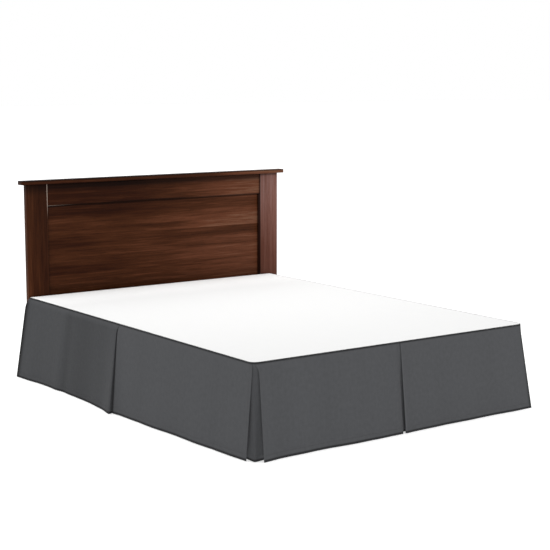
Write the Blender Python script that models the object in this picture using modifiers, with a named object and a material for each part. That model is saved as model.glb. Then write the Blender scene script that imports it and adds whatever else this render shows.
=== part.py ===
"""A tailored bed skirt on a queen bed: deck cloth, three drops with inverted pleats and two corner inserts.

The bed that it dresses is built with it, plain: a box spring on a steel frame, and a wooden headboard.
Metres, +Z up, floor at z = 0. The head of the bed is towards +Y and the bed's left side is at -X.
The origin is on the floor, under the centre of the whole object's box.
"""

import math
from collections import namedtuple

import bmesh
import bpy
from mathutils import Vector
from mathutils.geometry import interpolate_bezier

# The skirt: a deck for a 60 by 80 inch bed and a 16 inch drop
DECK_WIDTH = 1.524
DECK_LENGTH = 2.032
DECK_TOP = 0.407
DECK_CORNER = 0.030
CLOTH = 0.0012
LAYER = 0.0018
HEM_LAYER = 0.0040
HEM_HEIGHT = 0.003
PLEAT_DEPTH = 0.075
PLEAT_SLIT = 0.0018
CORNER_SLIT = 0.005
INSERT_REACH = 0.135
SEAM = 0.0003

# The bed under it
BASE_INSET = 0.0068
BASE_HEIGHT = 0.2278
RAIL_INSET = 0.014
RAIL_FLANGE = 0.040
RAIL_STEEL = 0.003
LEG_RADIUS = 0.016
GLIDE_RADIUS = 0.024
GLIDE_HEIGHT = 0.020
LEG_ROWS = {"head": 0.86, "middle": 0.0, "foot": -0.86}

# The headboard behind it
HEADBOARD_WIDTH = 1.586
HEADBOARD_HEIGHT = 1.010
HEADBOARD_SIDESTEP = 0.031
HEADBOARD_GAP = 0.012
POST_WIDTH = 0.120
POST_THICKNESS = 0.030
CAP_THICKNESS = 0.021
CAP_SIDE = 0.032
CAP_FRONT = 0.020
TOP_RAIL_HEIGHT = 0.115
TOP_RAIL_SETBACK = 0.006
PANEL_SETBACK = 0.020
BOTTOM_RAIL_TOP = 0.390
BOTTOM_RAIL_HEIGHT = 0.110

# Hems of the face panels. along: from the middle of the side; out: how far the hem stands off the deck's edge.
# On the left side along runs from head to foot, on the foot from left to right, on the right from foot to head.
Hem = namedtuple("Hem", "along out")
HEMS = {
    "left": (
        (Hem(-0.998, 0.094), Hem(-0.88, 0.084), Hem(-0.75, 0.071), Hem(-0.45, 0.064), Hem(-0.25, 0.066),
         Hem(-0.12, 0.076), Hem(-0.025, 0.094)),
        (Hem(-0.008, 0.074), Hem(0.05, 0.067), Hem(0.25, 0.062), Hem(0.45, 0.050), Hem(0.72, 0.041),
         Hem(1.003, 0.024)),
    ),
    "foot": (
        (Hem(-0.738, 0.048), Hem(-0.60, 0.034), Hem(-0.45, 0.028), Hem(-0.25, 0.033), Hem(-0.12, 0.031),
         Hem(0.011, 0.028)),
        (Hem(0.036, 0.030), Hem(0.10, 0.025), Hem(0.25, 0.020), Hem(0.50, 0.015), Hem(0.68, 0.015),
         Hem(0.807, 0.016)),
    ),
    "right": (
        (Hem(-0.992, 0.034), Hem(-0.80, 0.042), Hem(-0.52, 0.050), Hem(-0.25, 0.060), Hem(-0.012, 0.072)),
        (Hem(0.026, 0.094), Hem(0.13, 0.074), Hem(0.40, 0.063), Hem(0.75, 0.072), Hem(0.998, 0.094)),
    ),
}

# Inverted pleats. top: middle of the pleat on the deck's edge; back: the two back folds at the hem;
# under: how far the underlay stands off there.
Pleat = namedtuple("Pleat", "top back_before back_after under")
PLEATS = {
    "left": Pleat(-0.062, -0.104, 0.070, 0.010),
    "foot": Pleat(0.011, -0.068, 0.130, 0.000),
    "right": Pleat(0.052, -0.086, 0.100, 0.010),
}

# Corner inserts: how far the insert's hem stands off at the deck's corner on the two sides that it joins
Insert = namedtuple("Insert", "before after")
INSERTS = {
    "left": Insert(0.004, 0.020),
    "right": Insert(0.004, 0.010),
}

FACE_STEPS = 12
FOLD_STEPS = 6
RETURN_STEPS = 6
UNDERLAY_STEPS = 6
INSERT_STEPS = 12
ARC_STEPS = 6
DROP_ROWS = 4

BASE_TOP = DECK_TOP - CLOTH - SEAM
FRAME_TOP = BASE_TOP - BASE_HEIGHT - SEAM
HEAD_EDGE = DECK_LENGTH / 2
POST_FRONT = HEAD_EDGE + HEADBOARD_GAP
POST_BACK = POST_FRONT + POST_THICKNESS
FOOT_REACH = HEAD_EDGE + max(row.out for panel in HEMS["foot"] for row in panel)
BED_SHIFT = (FOOT_REACH - POST_BACK) / 2

# The deck's outline as one line, from the head's left corner round the foot to the head's right corner
QUARTER = math.pi * DECK_CORNER / 2
SIDE_RUN = DECK_LENGTH - DECK_CORNER
FOOT_RUN = DECK_WIDTH - 2 * DECK_CORNER
MIDDLES = {
    "left": DECK_LENGTH / 2,
    "foot": SIDE_RUN + QUARTER + FOOT_RUN / 2,
    "right": SIDE_RUN + 2 * QUARTER + FOOT_RUN + SIDE_RUN - DECK_LENGTH / 2,
}
CORNERS = {"left": SIDE_RUN + QUARTER / 2, "right": SIDE_RUN + QUARTER * 1.5 + FOOT_RUN}
OUTLINE = 2 * SIDE_RUN + 2 * QUARTER + FOOT_RUN

# Each side's middle, the way that along runs and the way that out points
SIDES = {
    "left": (Vector((-DECK_WIDTH / 2, 0, 0)), Vector((0, -1, 0)), Vector((-1, 0, 0))),
    "foot": (Vector((0, -DECK_LENGTH / 2, 0)), Vector((1, 0, 0)), Vector((0, -1, 0))),
    "right": (Vector((DECK_WIDTH / 2, 0, 0)), Vector((0, 1, 0)), Vector((1, 0, 0))),
}


def clear_scene():
    for thing in list(bpy.data.objects):
        bpy.data.objects.remove(thing, do_unlink=True)


def new_collection(name):
    collection = bpy.data.collections.new(name)
    bpy.context.scene.collection.children.link(collection)
    return collection


def finish(name, mesh, collection, parent, colour, roughness, metallic=0.0):
    """Makes the mesh an object of its own, with its own material, in the bed's frame."""
    material = bpy.data.materials.new(name)
    material.use_nodes = True
    shader = material.node_tree.nodes["Principled BSDF"]
    shader.inputs["Base Color"].default_value = (*colour, 1.0)
    shader.inputs["Roughness"].default_value = roughness
    shader.inputs["Metallic"].default_value = metallic
    mesh.materials.append(material)
    thing = bpy.data.objects.new(name, mesh)
    thing.parent = parent
    collection.objects.link(thing)
    return thing


def solidify(thing, thickness, offset=0.0):
    modifier = thing.modifiers.new("thickness", "SOLIDIFY")
    modifier.thickness = thickness
    modifier.offset = offset
    modifier.use_even_offset = True


def mesh_from(bm, name):
    mesh = bpy.data.meshes.new(name)
    bm.to_mesh(mesh)
    bm.free()
    return mesh


# Lines in plan


def on_outline(distance, depth):
    """The point at a distance along the deck's outline, a depth inside it."""
    left, foot = -DECK_WIDTH / 2, -DECK_LENGTH / 2
    if distance <= SIDE_RUN:
        return Vector((left + depth, HEAD_EDGE - distance, 0))
    distance -= SIDE_RUN
    if distance <= QUARTER:
        turn = distance / DECK_CORNER
        reach = DECK_CORNER - depth
        centre = Vector((left + DECK_CORNER, foot + DECK_CORNER, 0))
        return centre + reach * Vector((-math.cos(turn), -math.sin(turn), 0))
    distance -= QUARTER
    if distance <= FOOT_RUN:
        return Vector((left + DECK_CORNER + distance, foot + depth, 0))
    distance -= FOOT_RUN
    mirrored = on_outline(SIDE_RUN + QUARTER - distance, depth)
    return Vector((-mirrored.x, mirrored.y, 0))


def stations(start, end, steps):
    """Distances along the outline from start to end: even steps, but the same fixed ones in every corner."""
    inner = []
    for i in range(1, steps):
        mark = start + (end - start) * i / steps
        if all(abs(mark - middle) > QUARTER / 2 + 0.002 for middle in CORNERS.values()):
            inner.append(mark)
    for middle in CORNERS.values():
        for i in range(ARC_STEPS + 1):
            mark = middle + QUARTER * (i / ARC_STEPS - 0.5)
            if min(start, end) + 0.001 < mark < max(start, end) - 0.001:
                inner.append(mark)
    return [start, *sorted(inner, reverse=start > end), end]


def layer_run(line, layer):
    """A stretch of one pressed layer under the deck's edge. Layer 0 is the face, and 2 lies on the bed."""
    return [on_outline(mark, CLOTH / 2 + layer * LAYER) for mark in line]


def at_hem(side, along, out):
    """The point at the hem of the cloth's middle, whose outer face stands out from the deck's edge."""
    middle, forward, outward = SIDES[side]
    return middle + forward * along + outward * (out - CLOTH / 2)


def smooth(points, line):
    """A smooth curve through the given points, with a point for each of a line's stations."""
    ends = [points[0] * 2 - points[1], *points, points[-1] * 2 - points[-2]]
    fine = []
    for before, here, there, after in zip(ends, ends[1:], ends[2:], ends[3:]):
        pull = (there - here).length / 3
        leave = (there - before).normalized() * pull
        arrive = (after - here).normalized() * pull
        fine += interpolate_bezier(here, here + leave, there - arrive, there, 24)[:-1]
    fine.append(points[-1])
    reached = [0.0]
    for here, there in zip(fine, fine[1:]):
        reached.append(reached[-1] + (there - here).length)
    spread = []
    k = 0
    for mark in line:
        goal = reached[-1] * (mark - line[0]) / (line[-1] - line[0])
        while k < len(fine) - 2 and reached[k + 1] < goal:
            k += 1
        share = (goal - reached[k]) / (reached[k + 1] - reached[k])
        spread.append(fine[k].lerp(fine[k + 1], min(share, 1.0)))
    return spread


def join_runs(runs):
    """One line from several runs, with a round fold of cloth between each and the next."""
    line = list(runs[0])
    for before, after in zip(runs, runs[1:]):
        pull = (after[0] - before[-1]).length * 2 / 3
        leave = (before[-1] - before[-2]).normalized() * pull
        arrive = (after[1] - after[0]).normalized() * pull
        bend = interpolate_bezier(before[-1], before[-1] + leave, after[0] - arrive, after[0], FOLD_STEPS + 1)
        line += bend[1:-1]
        line += after
    return line


# The skirt's cloth


def hang_cloth(name, top_runs, hem_runs, collection, parent, colour):
    """A sheet that hangs from its line under the deck's edge to its line at the hem."""
    top, hem = join_runs(top_runs), join_runs(hem_runs)
    columns = len(top) - 1
    bm = bmesh.new()
    bmesh.ops.create_grid(bm, x_segments=columns, y_segments=DROP_ROWS, size=0.5)
    for vertex in bm.verts:
        column = round((vertex.co.x + 0.5) * columns)
        fall = vertex.co.y + 0.5
        place = top[column].lerp(hem[column], fall)
        place.z = BASE_TOP + (HEM_HEIGHT - BASE_TOP) * fall
        vertex.co = place
    thing = finish(name, mesh_from(bm, name), collection, parent, colour, 0.9)
    solidify(thing, CLOTH)
    return thing


def return_hem(side, fold, way, pleat):
    """The hem behind a front fold: in from the fold, then along the underlay to the back fold."""
    back = pleat.back_before if way < 0 else pleat.back_after
    in_fold = fold.out - (fold.out - pleat.under) * 0.42
    return [
        at_hem(side, fold.along + way * 0.002, in_fold),
        at_hem(side, fold.along + way * 0.016, pleat.under + HEM_LAYER * 1.9),
        at_hem(side, fold.along * 0.45 + back * 0.55, pleat.under + HEM_LAYER * 1.15),
        at_hem(side, back, pleat.under + HEM_LAYER),
    ]


def make_drop(side, collection, parent, colour):
    """One side's cloth, a single length: two face panels and the inverted pleat between them."""
    pleat = PLEATS[side]
    before, after = HEMS[side]
    centre = MIDDLES[side] + pleat.top
    start = {"left": 0.0, "foot": CORNERS["left"] + CORNER_SLIT, "right": CORNERS["right"] + CORNER_SLIT}[side]
    end = {"left": CORNERS["left"] - CORNER_SLIT, "foot": CORNERS["right"] - CORNER_SLIT, "right": OUTLINE}[side]
    lines = [
        stations(start, centre - PLEAT_SLIT, FACE_STEPS),
        stations(centre - PLEAT_SLIT, centre - PLEAT_DEPTH, RETURN_STEPS),
        stations(centre - PLEAT_DEPTH, centre + PLEAT_DEPTH, UNDERLAY_STEPS),
        stations(centre + PLEAT_DEPTH, centre + PLEAT_SLIT, RETURN_STEPS),
        stations(centre + PLEAT_SLIT, end, FACE_STEPS),
    ]
    top = [layer_run(line, layer) for line, layer in zip(lines, (0, 1, 2, 1, 0))]
    curves = [
        [at_hem(side, *row) for row in before],
        return_hem(side, before[-1], -1, pleat),
        [at_hem(side, back, pleat.under) for back in (pleat.back_before, pleat.back_after)],
        return_hem(side, after[0], 1, pleat)[::-1],
        [at_hem(side, *row) for row in after],
    ]
    hem = [smooth(curve, line) for curve, line in zip(curves, lines)]
    return hang_cloth(f"drop_{side}", top, hem, collection, parent, colour)


def make_corner_insert(corner, collection, parent, colour):
    """The piece that hangs round a foot corner behind the ends of two drops."""
    before, after = ("left", "foot") if corner == "left" else ("foot", "right")
    near = DECK_LENGTH / 2 if before == "left" else DECK_WIDTH / 2
    far = -DECK_WIDTH / 2 if after == "foot" else -DECK_LENGTH / 2
    out_before, out_after = INSERTS[corner]
    line = stations(CORNERS[corner] - INSERT_REACH, CORNERS[corner] + INSERT_REACH, INSERT_STEPS)
    curve = [
        at_hem(before, near + out_after - INSERT_REACH, 0.0),
        at_hem(before, near + out_after - INSERT_REACH / 2, out_before * 0.5),
        at_hem(before, near + out_after * 0.5, out_before * 0.95),
        at_hem(before, near + out_after - 0.006, out_before * 0.9),
        at_hem(after, far - out_before + 0.006, out_after * 0.97),
        at_hem(after, far - out_before + INSERT_REACH / 2, out_after * 0.45),
        at_hem(after, far - out_before + INSERT_REACH, 0.0),
    ]
    top, hem = [layer_run(line, 1)], [smooth(curve, line)]
    return hang_cloth(f"corner_insert_{corner}", top, hem, collection, parent, colour)


# Boards, blocks and bars


def make_block(name, low, high, collection, parent, look, upright_round=0.0, rounded=None, edge_round=0.0):
    """A box between two corners. Its upright edges and then its level edges can be rounded."""
    size = Vector(high) - Vector(low)
    centre = (Vector(high) + Vector(low)) / 2
    bm = bmesh.new()
    bmesh.ops.create_cube(bm, size=1.0)
    bmesh.ops.scale(bm, vec=size, verts=bm.verts)
    bmesh.ops.translate(bm, vec=centre, verts=bm.verts)
    if upright_round:
        upright = [e for e in bm.edges if abs(e.verts[0].co.z - e.verts[1].co.z) > size.z / 2]
        if rounded:
            upright = [e for e in upright if rounded(e.verts[0].co)]
        bmesh.ops.bevel(bm, geom=upright, offset=upright_round, segments=8, profile=0.5, affect="EDGES")
    if edge_round:
        level = [e for e in bm.edges if abs(e.verts[0].co.z - e.verts[1].co.z) < 1e-6 and len(e.link_faces) == 2
                 and abs(e.link_faces[0].normal.z - e.link_faces[1].normal.z) > 0.5]
        bmesh.ops.bevel(bm, geom=level, offset=edge_round, segments=2, profile=0.5, affect="EDGES")
    return finish(name, mesh_from(bm, name), collection, parent, *look)


def make_disc(name, centre, radius, low, high, collection, parent, look):
    """An upright round bar or disc between two heights."""
    bm = bmesh.new()
    bmesh.ops.create_cone(bm, cap_ends=True, segments=24, radius1=radius, radius2=radius, depth=high - low)
    bmesh.ops.translate(bm, vec=(*centre, (low + high) / 2), verts=bm.verts)
    mesh = mesh_from(bm, name)
    mesh.shade_smooth()
    mesh.set_sharp_from_angle(angle=math.radians(40))
    return finish(name, mesh, collection, parent, *look)


def make_angle_bar(name, start, end, across, collection, parent, look):
    """A steel angle: a level flange that ends at the line start to end, and a leg that hangs down from there."""
    start, end, across = Vector(start), Vector(end), Vector(across)
    bm = bmesh.new()
    profile = [start + across * (RAIL_FLANGE - RAIL_STEEL), start, start - Vector((0, 0, RAIL_FLANGE - RAIL_STEEL))]
    points = [bm.verts.new(place) for place in profile]
    edges = [bm.edges.new(pair) for pair in zip(points, points[1:])]
    swept = bmesh.ops.extrude_edge_only(bm, edges=edges)["geom"]
    bmesh.ops.translate(bm, vec=end - start, verts=[v for v in swept if isinstance(v, bmesh.types.BMVert)])
    bmesh.ops.recalc_face_normals(bm, faces=bm.faces)
    thing = finish(name, mesh_from(bm, name), collection, parent, *look)
    solidify(thing, RAIL_STEEL)
    return thing


# The bed


def make_base(collection, parent):
    """The box spring: a padded block, a little smaller than the deck all round."""
    half_width = DECK_WIDTH / 2 - BASE_INSET
    half_length = DECK_LENGTH / 2 - BASE_INSET
    low = (-half_width, -half_length, BASE_TOP - BASE_HEIGHT)
    high = (half_width, half_length, BASE_TOP)
    look = ((0.72, 0.70, 0.66), 0.9)
    make_block("box_spring", low, high, collection, parent, look, upright_round=DECK_CORNER - BASE_INSET,
               edge_round=0.006)


def make_frame(collection, parent):
    """Two side rails and three cross rails of steel angle, on nine legs with glides."""
    steel, plastic = ((0.02, 0.02, 0.022), 0.45, 0.6), ((0.025, 0.025, 0.025), 0.6)
    flange_middle = FRAME_TOP - RAIL_STEEL / 2
    outside = DECK_WIDTH / 2 - RAIL_INSET - RAIL_STEEL / 2
    rail_end = POST_FRONT - SEAM - RAIL_STEEL - SEAM
    inside = outside + RAIL_STEEL / 2 - RAIL_FLANGE + RAIL_STEEL / 2
    leg_line = outside - RAIL_STEEL / 2 - SEAM - LEG_RADIUS
    for name, sign in (("left", -1), ("right", 1)):
        start = (sign * outside, -HEAD_EDGE + 0.030, flange_middle)
        end = (sign * outside, rail_end, flange_middle)
        make_angle_bar(f"side_rail_{name}", start, end, (-sign, 0, 0), collection, parent, steel)
        low = (min(sign * outside, sign * inside), rail_end + SEAM, FRAME_TOP - 0.080)
        high = (max(sign * outside, sign * inside), POST_FRONT - SEAM, FRAME_TOP)
        make_block(f"head_bracket_{name}", low, high, collection, parent, steel)
    for row, y in LEG_ROWS.items():
        reach = inside - RAIL_STEEL / 2 - SEAM
        start, end = (-reach, y - RAIL_FLANGE / 2, flange_middle), (reach, y - RAIL_FLANGE / 2, flange_middle)
        make_angle_bar(f"cross_rail_{row}", start, end, (0, 1, 0), collection, parent, steel)
        for name, x in (("left", -leg_line), ("centre", 0.0), ("right", leg_line)):
            spot = (x, y)
            leg_top = FRAME_TOP - RAIL_STEEL - SEAM
            make_disc(f"leg_{row}_{name}", spot, LEG_RADIUS, GLIDE_HEIGHT + SEAM, leg_top, collection, parent, steel)
            make_disc(f"glide_{row}_{name}", spot, GLIDE_RADIUS, 0.0, GLIDE_HEIGHT, collection, parent, plastic)


def make_headboard(collection, parent):
    """Two posts, a cap, a top rail, a recessed panel and a low rail. It stands a little right of the bed."""
    wood = ((0.060, 0.026, 0.016), 0.45)
    left, right = HEADBOARD_SIDESTEP - HEADBOARD_WIDTH / 2, HEADBOARD_SIDESTEP + HEADBOARD_WIDTH / 2
    post_top = HEADBOARD_HEIGHT - CAP_THICKNESS - SEAM
    for name, start in (("left", left), ("right", right - POST_WIDTH)):
        low, high = (start, POST_FRONT, 0), (start + POST_WIDTH, POST_BACK, post_top)
        make_block(f"post_{name}", low, high, collection, parent, wood)
    low = (left - CAP_SIDE, POST_FRONT - CAP_FRONT, HEADBOARD_HEIGHT - CAP_THICKNESS)
    high = (right + CAP_SIDE, POST_BACK, HEADBOARD_HEIGHT)
    make_block("headboard_cap", low, high, collection, parent, wood)
    inner = left + POST_WIDTH + SEAM, right - POST_WIDTH - SEAM
    boards = (
        ("headboard_top_rail", TOP_RAIL_SETBACK, post_top - TOP_RAIL_HEIGHT, post_top),
        ("headboard_panel", PANEL_SETBACK, BOTTOM_RAIL_TOP + SEAM, post_top - TOP_RAIL_HEIGHT - SEAM),
        ("headboard_low_rail", TOP_RAIL_SETBACK, BOTTOM_RAIL_TOP - BOTTOM_RAIL_HEIGHT, BOTTOM_RAIL_TOP),
    )
    for name, setback, bottom, top in boards:
        low, high = (inner[0], POST_FRONT + setback, bottom), (inner[1], POST_BACK, top)
        make_block(name, low, high, collection, parent, wood)


def make_deck(collection, parent):
    """The white cloth that lies on the box spring, with round corners at the foot."""
    half = Vector((DECK_WIDTH / 2, DECK_LENGTH / 2, 0))
    low, high = -half + Vector((0, 0, DECK_TOP - CLOTH)), half + Vector((0, 0, DECK_TOP))
    look = ((0.86, 0.86, 0.85), 0.9)
    make_block("deck", low, high, collection, parent, look, upright_round=DECK_CORNER, rounded=lambda co: co.y < 0)


clear_scene()
skirt_and_bed = new_collection("bed_skirt_on_bed")
bed = bpy.data.objects.new("bed", None)
bed.location.y = BED_SHIFT
skirt_and_bed.objects.link(bed)
CHARCOAL = (0.085, 0.089, 0.094)
make_deck(skirt_and_bed, bed)
for side_name in SIDES:
    make_drop(side_name, skirt_and_bed, bed, CHARCOAL)
for corner_name in CORNERS:
    make_corner_insert(corner_name, skirt_and_bed, bed, CHARCOAL)
make_base(skirt_and_bed, bed)
make_frame(skirt_and_bed, bed)
make_headboard(skirt_and_bed, bed)
bpy.context.view_layer.update()
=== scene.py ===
"""A charcoal tailored bed skirt on a plain queen bed: steel frame, box spring and dark wooden headboard."""

import math

import bmesh
import bpy
from mathutils import Matrix, Vector
from mathutils.geometry import interpolate_bezier


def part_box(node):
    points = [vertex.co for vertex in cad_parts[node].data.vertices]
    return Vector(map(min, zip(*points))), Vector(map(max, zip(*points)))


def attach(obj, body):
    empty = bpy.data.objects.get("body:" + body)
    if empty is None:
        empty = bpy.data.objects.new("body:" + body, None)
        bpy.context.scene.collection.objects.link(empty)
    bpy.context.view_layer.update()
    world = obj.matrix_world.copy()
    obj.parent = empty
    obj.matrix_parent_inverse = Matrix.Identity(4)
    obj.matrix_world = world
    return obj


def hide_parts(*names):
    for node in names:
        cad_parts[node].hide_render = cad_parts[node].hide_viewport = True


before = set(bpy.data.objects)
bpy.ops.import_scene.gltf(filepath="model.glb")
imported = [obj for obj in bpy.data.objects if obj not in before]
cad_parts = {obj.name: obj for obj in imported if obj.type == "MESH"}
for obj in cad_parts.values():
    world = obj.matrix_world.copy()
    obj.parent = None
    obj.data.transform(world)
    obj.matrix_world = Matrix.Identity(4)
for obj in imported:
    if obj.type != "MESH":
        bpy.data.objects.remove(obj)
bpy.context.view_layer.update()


# ---- Glides and legs ----
# Nine round steel legs in three rows carry the bed frame, each in a moulded black glide with a rounded lip.
# The legs have the frame's black powder coat. The glides are polypropylene, dulled by the floor.


class Thread:
    """One value in a material. Arithmetic on it adds Math nodes, and node() adds any other node."""

    COLOUR_A, COLOUR_B, COLOUR_OUT = 6, 7, 2  # the colour sockets of a Mix node

    def __init__(self, tree, socket=None):
        self.tree, self.socket = tree, socket

    def node(self, kind, settings=None, inputs=None, out=0):
        """A new node: its settings are set first, then the values and links of its sockets."""
        added = self.tree.nodes.new(kind)
        for name, value in (settings or {}).items():
            if name == "stops":
                ramp = added.color_ramp.elements
                while len(ramp) < len(value):
                    ramp.new(0.5)
                for stop, (place, colour) in zip(ramp, value):
                    stop.position, stop.color = place, (*colour, 1.0)
            else:
                setattr(added, name, value)
        for name, value in (inputs or {}).items():
            if isinstance(value, Thread):
                self.tree.links.new(value.socket, added.inputs[name])
            else:
                added.inputs[name].default_value = value
        return Thread(self.tree, added.outputs[out])

    def place(self):
        """The point on the piece, in metres."""
        return self.node("ShaderNodeTexCoord", out="Object")

    def cloth_place(self):
        """The point on the cloth as it was cut, in metres."""
        return self.node("ShaderNodeUVMap", {"uv_map": "cloth_metres"})

    def part(self, axis):
        """The X, Y or Z of a place."""
        return self.node("ShaderNodeSeparateXYZ", None, {0: self}, out=axis)

    def maths(self, operation, *others):
        return self.node("ShaderNodeMath", {"operation": operation}, dict(enumerate((self, *others))))

    def __add__(self, other):
        return self.maths("ADD", other)

    def __sub__(self, other):
        return self.maths("SUBTRACT", other)

    def __rsub__(self, other):
        return self.node("ShaderNodeMath", {"operation": "SUBTRACT"}, {0: other, 1: self})

    def __mul__(self, other):
        return self.maths("MULTIPLY", other)

    __radd__, __rmul__ = __add__, __mul__

    def eased(self, low, high):
        """0 below low, 1 above high and smooth between; the other way round where low is above high."""
        flip = low > high
        ends = {1: min(low, high), 2: max(low, high), 3: float(flip), 4: float(not flip)}
        return self.node("ShaderNodeMapRange", {"interpolation_type": "SMOOTHSTEP"}, {0: self, **ends})

    def speckle(self, stretch, detail=2.0, roughness=0.5, distortion=0.0):
        """Noise from 0 to 1 on a place, stretched by so many waves for each metre."""
        place = self.node("ShaderNodeVectorMath", {"operation": "MULTIPLY"}, {0: self, 1: stretch})
        look = {"Scale": 1.0, "Detail": detail, "Roughness": roughness, "Distortion": distortion}
        return self.node("ShaderNodeTexNoise", {"noise_dimensions": "3D"}, {"Vector": place, **look})

    def blend(self, other, share):
        """This colour where share is 0 and the other where it is 1."""
        colours = {0: share, self.COLOUR_A: self, self.COLOUR_B: other}
        return self.node("ShaderNodeMix", {"data_type": "RGBA"}, colours, self.COLOUR_OUT)

    def shaded(self, amount):
        """This colour times a number."""
        colours = {0: 1.0, self.COLOUR_A: self, self.COLOUR_B: self.colour(amount, amount, amount)}
        settings = {"data_type": "RGBA", "blend_type": "MULTIPLY"}
        return self.node("ShaderNodeMix", settings, colours, self.COLOUR_OUT)

    def colour(self, red, green, blue):
        return self.node("ShaderNodeCombineColor", None, {0: red, 1: green, 2: blue})

    def relief(self, height, depth):
        """A normal from a height of 0 to 1 that stands so many metres."""
        return self.node("ShaderNodeBump", None, {"Strength": 1.0, "Distance": depth, "Height": height})


def new_finish(name, **fixed):
    """A material, a thread to start its nodes from, and its shader with its fixed values set."""
    material = bpy.data.materials.new(name)
    material.use_nodes = True
    shader = material.node_tree.nodes["Principled BSDF"]
    for socket, value in fixed.items():
        shader.inputs[socket.replace("_", " ")].default_value = value
    return material, Thread(material.node_tree), shader


def wire_up(shader, **varying):
    """Links what varies over the surface to the shader's sockets."""
    for socket, value in varying.items():
        value.tree.links.new(value.socket, shader.inputs[socket.replace("_", " ")])


def add_piece(name, bm, finishes, stands_for=(), smooth_below=40):
    """Makes the mesh a piece of the bed: shaded smooth, in its finish, and riding on the bed."""
    mesh = bpy.data.meshes.new(name)
    bm.to_mesh(mesh)
    bm.free()
    mesh.shade_smooth()
    if smooth_below < 180:
        mesh.set_sharp_from_angle(angle=math.radians(smooth_below))
    for finish in finishes if isinstance(finishes, (list, tuple)) else [finishes]:
        mesh.materials.append(finish)
    piece = bpy.data.objects.new(name, mesh)
    bpy.context.scene.collection.objects.link(piece)
    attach(piece, "root")
    if stands_for:
        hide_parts(*stands_for)
    return piece


def turned(name, spot, profile, finish, stands_for):
    """A round upright piece, from a profile of (radius, height) points that starts and ends on its axis."""
    bm = bmesh.new()
    points = [bm.verts.new((spot.x + radius, spot.y, height)) for radius, height in profile]
    edges = [bm.edges.new(pair) for pair in zip(points, points[1:])]
    bmesh.ops.spin(bm, geom=points + edges, cent=(spot.x, spot.y, 0), axis=(0, 0, 1), angle=math.tau,
                   steps=32, use_merge=True)
    bmesh.ops.remove_doubles(bm, verts=bm.verts, dist=1e-5)
    bmesh.ops.recalc_face_normals(bm, faces=bm.faces)
    return add_piece(name, bm, finish, stands_for)


powder_coat, thread, shader = new_finish("black_powder_coat", IOR=1.5)
place = thread.place()
orange_peel = place.speckle((420, 420, 420), 2.0)
handling = place.speckle((9, 9, 14), 4.0, 0.65)
scuffs = place.speckle((60, 60, 160), 3.0, 0.7).eased(0.66, 0.74) * handling.eased(0.5, 0.66)
coat = thread.colour(0.016, 0.016, 0.018).blend(thread.colour(0.030, 0.030, 0.032), handling)
wire_up(shader, Base_Color=coat.blend(thread.colour(0.16, 0.155, 0.15), scuffs),
        Roughness=0.42 + handling * 0.16 + scuffs * 0.1, Normal=thread.relief(orange_peel, 0.00012))

glide_plastic, thread, shader = new_finish("black_polypropylene", IOR=1.49)
place = thread.place()
rubbed = place.speckle((140, 140, 30), 3.0, 0.6).eased(0.48, 0.62) * place.part("Z").eased(0.006, 0.001)
texture = place.speckle((900, 900, 900), 1.0)
plastic = thread.colour(0.020, 0.020, 0.021).blend(thread.colour(0.11, 0.105, 0.10), rubbed)
wire_up(shader, Base_Color=plastic, Roughness=0.5 + texture * 0.1 + rubbed * 0.25,
        Normal=thread.relief(texture, 0.00008))

# Up the outside of the glide, over its lip and down into its cup; up the leg, past a groove above the glide
GLIDE = ((0, 0), (0.0218, 0), (0.0232, 0.0005), (0.0239, 0.0018), (0.024, 0.0035), (0.0232, 0.0165),
         (0.0226, 0.0188), (0.0214, 0.0199), (0.0186, 0.0199), (0.0174, 0.0190), (0.0168, 0.0172),
         (0.0166, 0.0044), (0, 0.0044))
LEG_FOOT = ((0, 0.0048), (0.0152, 0.0048), (0.016, 0.0056), (0.016, 0.047), (0.01545, 0.0476),
            (0.01545, 0.0492), (0.016, 0.0498))
for row in ("head", "middle", "foot"):
    for side in ("left", "centre", "right"):
        low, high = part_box(f"leg_{row}_{side}")
        middle = (low + high) / 2
        glide, leg = f"glide_{row}_{side}", f"leg_{row}_{side}"
        tube = (*LEG_FOOT, (0.016, high.z - 0.0008), (0.0152, high.z), (0, high.z))
        turned(f"glide_cup_{row}_{side}", middle, GLIDE, glide_plastic, [glide])
        turned(f"leg_tube_{row}_{side}", middle, tube, powder_coat, [leg])


# ---- Bed frame ----
# Two side rails and three cross rails of rolled steel angle, black powder coated, riveted together.
# A plate at the head end of each side rail is bolted to the headboard's post.


def ease(bm, edges, width, steps):
    """Rounds edges off."""
    bmesh.ops.bevel(bm, geom=edges, offset=width, segments=steps, profile=0.5, affect="EDGES", material=-1)


for node in ("side_rail_left", "side_rail_right", "cross_rail_head", "cross_rail_middle", "cross_rail_foot",
             "head_bracket_left", "head_bracket_right"):
    steel = bmesh.new()
    steel.from_mesh(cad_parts[node].data)
    bmesh.ops.remove_doubles(steel, verts=steel.verts, dist=1e-6)
    bmesh.ops.dissolve_limit(steel, angle_limit=math.radians(1), verts=steel.verts, edges=steel.edges)
    ease(steel, steel.edges, 0.0006, 2)
    add_piece(f"{node}_coated", steel, powder_coat, [node])

# A rivet's dome as (radius, height) points, how far inside the cross rail's edges it sits, and how high
RIVET = ((0, 0), (0.0062, 0), (0.0062, 0.0003), (0.0055, 0.0014), (0.0040, 0.0024), (0.0020, 0.0029),
         (0, 0.003))
RIVET_INSETS, RIVET_HEIGHT = (0.011, 0.007), 0.019
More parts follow.
